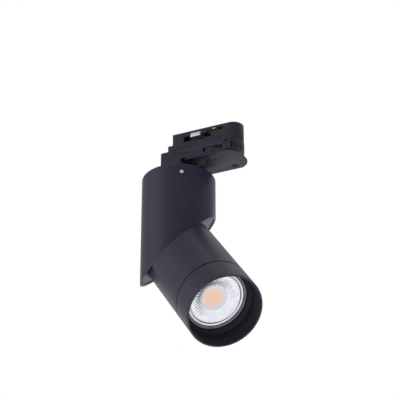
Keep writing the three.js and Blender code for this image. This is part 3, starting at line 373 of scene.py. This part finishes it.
def moulded_plastic(name, colour, roughness):
    """Spark-textured moulding."""
    look = Look(name, colour, roughness)
    look.vary_colour(look.noise(140, 4), 0.12)
    look.vary_roughness(look.noise(500, 3), 0.06)
    look.bumps(look.noise(3600, 2), 0.02 * MM, 0.6)
    return look.material


def worked_metal(name, colour, roughness, stretch=(1, 1, 1)):
    """Plated or machined metal with fine directional marks."""
    look = Look(name, colour, roughness, metallic=1.0)
    look.vary_colour(look.noise(300, 4), 0.08)
    look.vary_roughness(look.noise(1200, 4, stretch), 0.09)
    look.bumps(look.noise(1800, 3, stretch), 0.006 * MM, 0.4)
    return look.material


def soft_rubber(name, colour, roughness):
    """Matt rubber or silicone with a faint grain."""
    look = Look(name, colour, roughness)
    look.vary_colour(look.noise(400, 3), 0.15)
    look.bumps(look.noise(2200, 2), 0.02 * MM, 0.4)
    return look.material


def ceramic(name, colour, roughness):
    """Pale fired or lacquered surface under a thin gloss."""
    look = Look(name, colour, roughness)
    look.shader.inputs["Coat Weight"].default_value = 0.3
    look.shader.inputs["Coat Roughness"].default_value = 0.15
    look.vary_colour(look.noise(180, 4), 0.05)
    look.bumps(look.noise(900, 3), 0.02 * MM, 0.3)
    return look.material


def honeycomb(name):
    """Moulded small lenses over the phosphor: peach in the middle, pale lavender at the rim, with a faint painted
    glow in the same colours.
    """
    look = Look(name, (0.80, 0.82, 0.94), 0.18)
    look.shader.inputs["Coat Weight"].default_value = 0.6
    look.shader.inputs["Coat Roughness"].default_value = 0.05
    in_plane = EMITTER_SHIFT - head_up * EMITTER_SHIFT.dot(head_up)
    centre = HEAD @ Vector((0, 0, LAMP_FACE + DISC_DEPTH)) + in_plane
    away = look.tree.nodes.new("ShaderNodeVectorMath")
    away.operation = "DISTANCE"
    away.inputs[1].default_value = centre
    look.link(look.where, away.inputs[0])
    spread = look.tree.nodes.new("ShaderNodeMapRange")
    spread.interpolation_type = "SMOOTHSTEP"
    spread.inputs["From Min"].default_value = PHOSPHOR_CORE
    spread.inputs["From Max"].default_value = PHOSPHOR_REACH
    look.link(away.outputs["Value"], spread.inputs["Value"])
    colour = look.blend(spread.outputs["Result"], PHOSPHOR_COLOUR, look.colour)
    look.link(colour, look.shader.inputs["Base Color"])
    # painted glow: the lens's colours also feed its emission, though the lamp is not lit
    look.link(colour, look.shader.inputs["Emission Color"])
    look.shader.inputs["Emission Strength"].default_value = PHOSPHOR_PAINTED_GLOW
    look.vary_roughness(look.noise(900, 3), 0.05)
    return look.material


def mirror_flutes(name):
    """Slightly frosted mirror coating of the reflector."""
    look = Look(name, (0.90, 0.91, 0.99), 0.27, metallic=1.0)
    look.vary_roughness(look.noise(700, 3), 0.06)
    look.vary_colour(look.noise(160, 3), 0.08)
    return look.material


PAINT = powder_coat("black powder coat", (0.0190, 0.0160, 0.0380), 0.42)
# painted shade: a darker, rougher, less glossy copy of the black paint, for the ring's inward faces
PAINTED_SHADE_COAT = powder_coat("black powder coat with painted shade", (0.0085, 0.0080, 0.0170), 0.50, 0.25)
PLASTIC = moulded_plastic("black moulding", (0.0150, 0.0130, 0.0280), 0.48)
BLACK_STEEL = worked_metal("blackened steel", (0.035, 0.035, 0.038), 0.38)
STEEL = worked_metal("zinc plated steel", (0.86, 0.87, 0.89), 0.28, (1, 1, 5))
SPRING = worked_metal("spring steel", (0.30, 0.30, 0.32), 0.35)
ALUMINIUM = worked_metal("turned aluminium", (0.66, 0.67, 0.69), 0.34, (1, 1, 8))
BRASS = worked_metal("contact brass", (0.74, 0.55, 0.22), 0.25)
RUBBER = soft_rubber("black rubber", (0.012, 0.012, 0.013), 0.75)
SHEATH = soft_rubber("silicone sheath", (0.62, 0.62, 0.60), 0.55)
CERAMIC = ceramic("white ceramic", (0.76, 0.74, 0.68), 0.42)
BOARD = ceramic("white board", (0.80, 0.80, 0.78), 0.5)
BEZEL = moulded_plastic("lamp bezel", (0.24, 0.235, 0.29), 0.27)
FLUTES = mirror_flutes("mirrored flutes")
HONEYCOMB = honeycomb("lens over phosphor")

SLOT_LOOKS = {
    "black_paint": PAINT, "black_plastic": PLASTIC, "white_plastic": CERAMIC, "bright_steel": STEEL,
    "black_steel": BLACK_STEEL, "spring_steel": SPRING, "cast_aluminium": ALUMINIUM, "contact_brass": BRASS,
    "black_rubber": RUBBER, "lead_sheath": SHEATH, "board_white": BOARD,
}

# ------------------------------------------------------------------ tube and head shells


def slanted_rows(radius, flat_end, far_side):
    """Rows along a wall from its flat end to the slanted cut. far_side is -1 above the cut, 1 below."""
    def row(t):
        def at(angle):
            edge = cut_height(radius, angle, far_side) + far_side * EDGE
            return radius, flat_end + (edge - flat_end) * t
        return at
    return [row(i / WALL_STEPS) for i in range(WALL_STEPS + 1)]


def cut_height(radius, angle, far_side):
    """Height of the cut's face over the cut's centre."""
    middle = math.tan(CUT_TILT) * radius * math.cos(angle)
    return middle - far_side * FACE_GAP / 2 / math.cos(CUT_TILT)


def shifted(rows, height):
    """The same rows, raised."""
    return [(lambda a, row=row: (row(a)[0], row(a)[1] + height)) for row in rows]


def shell(name, flat_end, far_side, end_rows, place, centre):
    """Tube with a flat end and a slanted end, both with broken edges. Heights count from place."""
    inset = TUBE_RADIUS - EDGE
    outset = TUBE_BORE + EDGE
    outer = slanted_rows(TUBE_RADIUS, flat_end - centre, far_side)
    inner = slanted_rows(TUBE_BORE, flat_end - centre, far_side)
    face = [lambda a: (inset, cut_height(inset, a, far_side)),
            lambda a: (outset, cut_height(outset, a, far_side))]
    rows = shifted(outer, centre)[1:] + shifted(face, centre) + shifted(inner, centre)[::-1][:-1]
    return swept_ring(name, end_rows + rows, place)


def fillet_rows(outer, inner, height, radius, direction, steps=8):
    """Rows from a wall's inner edge over its flat end and round its outer edge."""
    corner = [(inner, height - direction * EDGE), (inner + EDGE, height)]
    for i in range(steps + 1):
        a = math.pi / 2 * (1 - i / steps)
        corner.append((outer - radius + radius * math.cos(a),
                       height - direction * (radius - radius * math.sin(a))))
    return level_rows(corner)


def screw_line(number):
    """A set screw's height on the tube's axis, its middle and the direction out of the tube."""
    low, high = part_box(f"set_screw_{number}")
    middle = (low + high) / 2
    return Vector((0, 0, middle.z)), middle, Vector((middle.x, middle.y, 0)).normalized()


def upper_tube():
    """The upright tube, with a rounded top edge and the set screws' holes."""
    ends = fillet_rows(TUBE_RADIUS, TUBE_BORE, 0, TOP_EDGE_RADIUS, 1)
    obj = shell("tube_body", -TOP_EDGE_RADIUS, -1, ends, TUBE, -cut_depth)
    holes = []
    for number in (1, 2, 3):
        _, middle, outward = screw_line(number)
        inner, outer = middle - outward * 4 * MM, middle + outward * 9 * MM
        holes.append(cylinder("hole", SCREW_HOLE_RADIUS, inner, outer))
    cut(obj, holes)
    shade(obj, 28)
    place_piece(obj, "tube", "upper_tube", PAINT)


def head_shell():
    """The head's tube, open at its slanted end and at the front ring."""
    ends = fillet_rows(TUBE_RADIUS, TUBE_BORE, SHELL_END, EDGE, -1, 3)
    obj = shell("head_body", SHELL_END + EDGE, 1, ends, HEAD, 0)
    shade(obj, 28)
    place_piece(obj, "head", "head_shell", PAINT)


def slanted_plate(name, body, node, place, centre, far_side):
    """Elliptical plate just inside a slanted end, with its bore and a broken rim."""
    radius = TUBE_BORE - FIT
    near = PLATE_RECESS
    far = PLATE_RECESS + PLATE_THICKNESS

    def row(r, depth):
        def at(angle):
            offset = (FACE_GAP / 2 + depth) / math.cos(CUT_TILT)
            return r, centre + math.tan(CUT_TILT) * r * math.cos(angle) - far_side * offset
        return at

    rows = [row(PLATE_BORE, near), row(radius * 0.5, near), row(radius - EDGE, near),
            row(radius, near + EDGE), row(radius, far), row(radius * 0.5, far), row(PLATE_BORE, far)]
    obj = swept_ring(name, rows, place)
    shade(obj)
    place_piece(obj, body, node, PAINT)


def ring_profile(rim, inside, seat):
    """The front ring's section: collar, lip, flared wall, rounded rim and outside."""
    collar_inner = LAMP_RADIUS + COLLAR_WALL_START
    lip = LAMP_RADIUS - LIP_OVERLAP
    lip_front = seat - LIP_THICKNESS
    collar_top = SHELL_END + COLLAR_HEIGHT
    wall_inset = 0.6 * MM
    wall_start = seat - 4 * MM
    wall_end = rim + RIM_BEAD
    profile = [
        (collar_inner, collar_top - EDGE), (collar_inner, seat), (lip + EDGE, seat), (lip, seat - EDGE),
        (lip, lip_front + EDGE), (lip + EDGE, lip_front), (inside - 1 * MM, seat - 3 * MM),
        (inside - wall_inset, wall_start),
    ]
    wall_steps = 6
    for i in range(1, wall_steps):
        t = i / wall_steps
        profile.append((inside - wall_inset * (1 - t), wall_start + (wall_end - wall_start) * t))
    bead_steps = 5
    for i in range(bead_steps):
        a = math.pi / 2 * i / (bead_steps - 1)
        profile.append((inside + RIM_BEAD * (1 - math.cos(a)), rim + RIM_BEAD * (1 - math.sin(a))))
    for i in reversed(range(bead_steps)):
        a = math.pi / 2 * i / (bead_steps - 1)
        profile.append((TUBE_RADIUS - RIM_BEAD * (1 - math.cos(a)), rim + RIM_BEAD * (1 - math.sin(a))))
    outside_end = RING_START - EDGE
    for i in range(1, wall_steps):
        profile.append((TUBE_RADIUS, wall_end + (outside_end - wall_end) * i / wall_steps))
    return profile + [
        (TUBE_RADIUS, outside_end), (TUBE_RADIUS - EDGE, RING_START), (COLLAR_OUTER, RING_START),
        (COLLAR_OUTER, collar_top - EDGE), (COLLAR_OUTER - EDGE, collar_top),
        (collar_inner + EDGE, collar_top),
    ]


def front_ring():
    """Baffle ring, with painted shade on the faces that look inwards in front of the lamp: a darker, less glossy
    copy of the paint.
    """
    inside = TUBE_RADIUS - RING_WALL
    seat = LAMP_FACE - FIT
    obj = revolved("front_ring_body", ring_profile(-head_length, inside, seat), HEAD)
    shade(obj)
    place_piece(obj, "front_ring", "front_ring", PAINT)
    # painted shade on the faces inside the ring, in front of the lamp
    obj.data.materials.append(PAINTED_SHADE_COAT)
    into_head = HEAD.inverted()
    for face in obj.data.polygons:
        at = into_head @ face.center
        if math.hypot(at.x, at.y) < inside + 0.1 * MM and at.z < seat:
            face.material_index = 1


def set_screw(number):
    """Grub screw with a hexagon socket, on the line from the tube's axis through its CAD node."""
    base, _, outward = screw_line(number)
    tip = TUBE_RADIUS - SCREW_SUNK
    thread_depth = 0.16 * MM
    chamfer = 0.25 * MM
    thread_end = SCREW_LENGTH - 0.35 * MM
    profile = [(0, 0)]
    for i in range(SCREW_THREADS + 1):
        z = (SCREW_LENGTH - 0.2 * MM) * i / SCREW_THREADS
        profile += [(SCREW_RADIUS - thread_depth, z + 0.02 * MM), (SCREW_RADIUS, z + thread_depth)]
    profile = [p for p in profile if p[1] < thread_end]
    profile += [(SCREW_RADIUS, SCREW_LENGTH - 0.3 * MM), (SCREW_RADIUS - chamfer, SCREW_LENGTH),
                (0, SCREW_LENGTH)]
    turn = Vector((0, 0, 1)).rotation_difference(outward).to_matrix().to_4x4()
    place = Matrix.Translation(base + outward * (tip - SCREW_LENGTH)) @ turn
    obj = turned_solid(f"grub_screw_{number}", profile, place, 48)
    floor_of_socket = base + outward * (tip - SOCKET_DEPTH)
    cut(obj, [cylinder("socket", SOCKET_RADIUS, floor_of_socket, base + outward * (tip + 1 * MM), 6)])
    shade(obj)
    place_piece(obj, "tube", f"set_screw_{number}", STEEL)


# ------------------------------------------------------------------ lamp face


def lamp_bowl():
    """Fluted reflector between the centre disc and the lens's ringed edge."""
    bowl_outer = LENS_RADIUS - LENS_EDGE_WIDTH
    steps = 22

    def flute(share):
        def at(angle):
            wave = abs(math.sin(FLUTES_ROUND * angle / 2))
            height = (1 - share) ** 1.25 * BOWL_DEPTH + 0.9 * MM
            swell = math.sin(math.pi * min(1, share * 1.15)) if share < 0.87 else 0
            radius = DISC_RADIUS + (bowl_outer - DISC_RADIUS) * share
            return radius, LENS_FRONT + height - FLUTE_DEPTH * wave * swell
        return at

    rows = [flute(i / steps) for i in range(steps + 1)]
    edge = []
    for i in range(LENS_EDGE_RINGS):
        for part, rise in ((0.15, 0.1), (0.55, 0.75), (0.85, 0.75), (0.98, 0.1)):
            r = bowl_outer + LENS_EDGE_WIDTH / LENS_EDGE_RINGS * (i + part)
            edge.append((r, LENS_FRONT + (0.85 - 0.7 * rise * (1 - 0.2 * i)) * MM))
    edge += [(LENS_RADIUS, LENS_FRONT + 0.9 * MM), (LENS_RADIUS, LENS_FRONT + 2.4 * MM),
             (DISC_RADIUS, LENS_FRONT + BOWL_DEPTH + 2.2 * MM)]
    rows += level_rows(edge)
    obj = swept_ring("lamp_reflector", rows, HEAD, FLUTES_ROUND * 8)
    shade(obj, 50)
    place_piece(obj, "lamp", "lamp_lens", FLUTES)


def lamp_disc():
    """Centre disc covered in small domed lenses."""
    bm = bmesh.new()
    step = CELL / 5
    reach = int(DISC_RADIUS / step) + 2
    verts = {}
    for i in range(-2 * reach, 2 * reach + 1):
        for j in range(-2 * reach, 2 * reach + 1):
            x, y = step * (i + j / 2), step * j * math.sqrt(3) / 2
            if math.hypot(x, y) > DISC_RADIUS - 0.1 * MM:
                continue
            bulge = 1 - (cell_distance(x, y) / (CELL * 0.577)) ** 2
            crown = DISC_CROWN * (1 - (math.hypot(x, y) / DISC_RADIUS) ** 2)
            verts[i, j] = bm.verts.new((x, y, LENS_FRONT + DISC_DEPTH - crown - CELL_BULGE * bulge))
    for (i, j), v in verts.items():
        right, up, across = verts.get((i + 1, j)), verts.get((i, j + 1)), verts.get((i + 1, j - 1))
        if right and up:
            bm.faces.new((v, right, up))
        if right and across:
            bm.faces.new((v, across, right))
    rim = [e for e in bm.edges if e.is_boundary]
    out = bmesh.ops.extrude_edge_only(bm, edges=rim)
    moved = [g for g in out["geom"] if isinstance(g, bmesh.types.BMVert)]
    for v in moved:
        scale = DISC_RADIUS / math.hypot(v.co.x, v.co.y)
        v.co = (v.co.x * scale, v.co.y * scale, LENS_FRONT + DISC_DEPTH + 0.3 * MM)
    rim = [e for e in out["geom"] if isinstance(e, bmesh.types.BMEdge)]
    out = bmesh.ops.extrude_edge_only(bm, edges=rim)
    moved = [g for g in out["geom"] if isinstance(g, bmesh.types.BMVert)]
    for v in moved:
        v.co.z = LENS_FRONT + BOWL_DEPTH + 1.2 * MM
    rim = [e for e in out["geom"] if isinstance(e, bmesh.types.BMEdge)]
    bmesh.ops.holes_fill(bm, edges=rim, sides=0)
    obj = new_object("lamp_centre_lens", bm, HEAD)
    shade(obj, 50)
    place_piece(obj, "lamp", "led_emitter", HONEYCOMB)


def cell_distance(x, y):
    """Distance to the nearest point of a hexagonal grid of pitch CELL."""
    row = y / (CELL * math.sqrt(3) / 2)
    best = CELL
    for j in (math.floor(row), math.floor(row) + 1):
        column = round(x / CELL - j / 2)
        for i in (column - 1, column, column + 1):
            best = min(best, math.hypot(x - CELL * (i + j / 2), y - CELL * j * math.sqrt(3) / 2))
    return best


def lamp_bezel():
    """Lamp's edge, with two rounded beads round its face."""
    inner = LAMP_RADIUS - BEZEL_WIDTH
    back = LAMP_FACE + 6.3 * MM
    profile = [(inner, back)]
    for centre, radius in ((inner + 0.45 * MM, 0.45 * MM), (LAMP_RADIUS - 1.1 * MM, 0.7 * MM)):
        for i in range(7):
            a = math.pi * (1 - i / 6)
            profile.append((centre + radius * math.cos(a), LAMP_FACE + 0.45 * MM - 0.4 * MM * math.sin(a)))
    profile += [(LAMP_RADIUS, LAMP_FACE + 0.9 * MM), (LAMP_RADIUS, back)]
    obj = revolved("lamp_trim", profile, HEAD)
    shade(obj)
    place_piece(obj, "lamp", "lamp_bezel", BEZEL)


# ------------------------------------------------------------------ camera, light, background


def camera():
    """Main view, from below and in front."""
    data = bpy.data.cameras.new("camera")
    data.lens = CAMERA_LENS
    data.sensor_width = 36
    data.clip_end = 30
    obj = bpy.data.objects.new("camera", data)
    obj.location = CAMERA_PLACE
    obj.rotation_euler = (math.pi / 2 + CAMERA_TILT, 0, CAMERA_HEADING)
    bpy.context.scene.collection.objects.link(obj)
    bpy.context.scene.camera = obj


def area_light(name, place, aim, size, power):
    """Rectangular lamp that looks from a place at an aim."""
    data = bpy.data.lights.new(name, "AREA")
    data.shape = "RECTANGLE"
    data.size, data.size_y = size
    data.energy = power
    obj = bpy.data.objects.new(name, data)
    obj.location = place
    obj.rotation_euler = (aim - Vector(place)).to_track_quat("-Z", "Y").to_euler()
    bpy.context.scene.collection.objects.link(obj)


def from_camera(right, up, forward):
    """A point given from the object's middle in the camera's level directions."""
    return OBJECT_MIDDLE + CAMERA_SIDE * right + BACKDROP_SIDE * forward + Vector((0, 0, up))


def lights():
    """Three soft lamps: left, right behind, and high over the floor."""
    area_light("key left", from_camera(-1.5, 0.2, -0.5), OBJECT_MIDDLE, (1.2, 1.6), 4.5)
    area_light("rim right", from_camera(1.0, 0.1, 1.2), OBJECT_MIDDLE, (0.4, 1.4), 2)
    above = OBJECT_MIDDLE + Vector((0.6, 0.6, 1.6))
    area_light("over the floor", above, OBJECT_MIDDLE - Vector((0, 0, 1)), (2.4, 2.4), 8)


def background():
    """White to the camera. As a light it is bright behind the object, and brighter left than right."""
    world = bpy.data.worlds.new("studio")
    bpy.context.scene.world = world
    world.use_nodes = True
    tree = world.node_tree
    shown = tree.nodes["Background"]
    shown.inputs["Color"].default_value = (1, 1, 1, 1)
    shown.inputs["Strength"].default_value = 1.0
    direction = tree.nodes.new("ShaderNodeTexCoord").outputs["Generated"]

    def towards(aim, start, end, low, high):
        facing = tree.nodes.new("ShaderNodeVectorMath")
        facing.operation = "DOT_PRODUCT"
        facing.inputs[1].default_value = aim.normalized()
        tree.links.new(direction, facing.inputs[0])
        ramp = tree.nodes.new("ShaderNodeMapRange")
        ramp.interpolation_type = "SMOOTHSTEP"
        ramp.inputs["From Min"].default_value = start
        ramp.inputs["From Max"].default_value = end
        ramp.inputs["To Min"].default_value = low
        ramp.inputs["To Max"].default_value = high
        tree.links.new(facing.outputs["Value"], ramp.inputs["Value"])
        return ramp.outputs["Result"]

    total = tree.nodes.new("ShaderNodeMath")
    total.operation = "ADD"
    tree.links.new(towards(-CAMERA_SIDE, -0.9, 0.9, 0.2, 0.5), total.inputs[0])
    tree.links.new(towards(BACKDROP_SIDE + CAMERA_SIDE * 0.12, 0.55, 1.0, 0.0, 0.6), total.inputs[1])
    fill = tree.nodes.new("ShaderNodeBackground")
    fill.inputs["Color"].default_value = (0.95, 0.96, 1.0, 1)
    tree.links.new(total.outputs[0], fill.inputs["Strength"])
    rays = tree.nodes.new("ShaderNodeLightPath")
    mix = tree.nodes.new("ShaderNodeMixShader")
    tree.links.new(rays.outputs["Is Camera Ray"], mix.inputs[0])
    tree.links.new(fill.outputs[0], mix.inputs[1])
    tree.links.new(shown.outputs[0], mix.inputs[2])
    tree.links.new(mix.outputs[0], tree.nodes["World Output"].inputs["Surface"])
    bpy.context.scene.view_settings.view_transform = "Standard"


def floor():
    """Pale floor, far enough down to leave the object hanging."""
    bm = bmesh.new()
    bmesh.ops.create_grid(bm, x_segments=8, y_segments=8, size=FLOOR_HALF_SIZE)
    obj = new_object("floor", bm, Matrix.Translation((0, 0, FLOOR_HEIGHT)))
    look = Look("pale floor", (0.9, 0.9, 0.9), 0.7)
    look.vary_colour(look.noise(3, 3), 0.02)
    look.shader.inputs["Emission Color"].default_value = (1, 1, 1, 1)
    look.shader.inputs["Emission Strength"].default_value = FLOOR_GLOW
    obj.data.materials.append(look.material)


# ------------------------------------------------------------------ build

camera()
lights()
background()
floor()

upper_tube()
head_shell()
front_ring()
slanted_plate("tongue_face", "tube", "upper_pivot_plate", TUBE, -cut_depth, -1)
slanted_plate("head_face", "head", "lower_pivot_plate", HEAD, 0, 1)

for number in (1, 2, 3):
    set_screw(number)
lamp_bowl()
lamp_disc()
lamp_bezel()

for node in [n for n in frame["nodes"] if n not in replaced]:
    rounding = 0.05 * MM if node.endswith("_lead") else 0.25 * MM
    refined(node, SLOT_LOOKS[slot_of_node(node)], rounding)
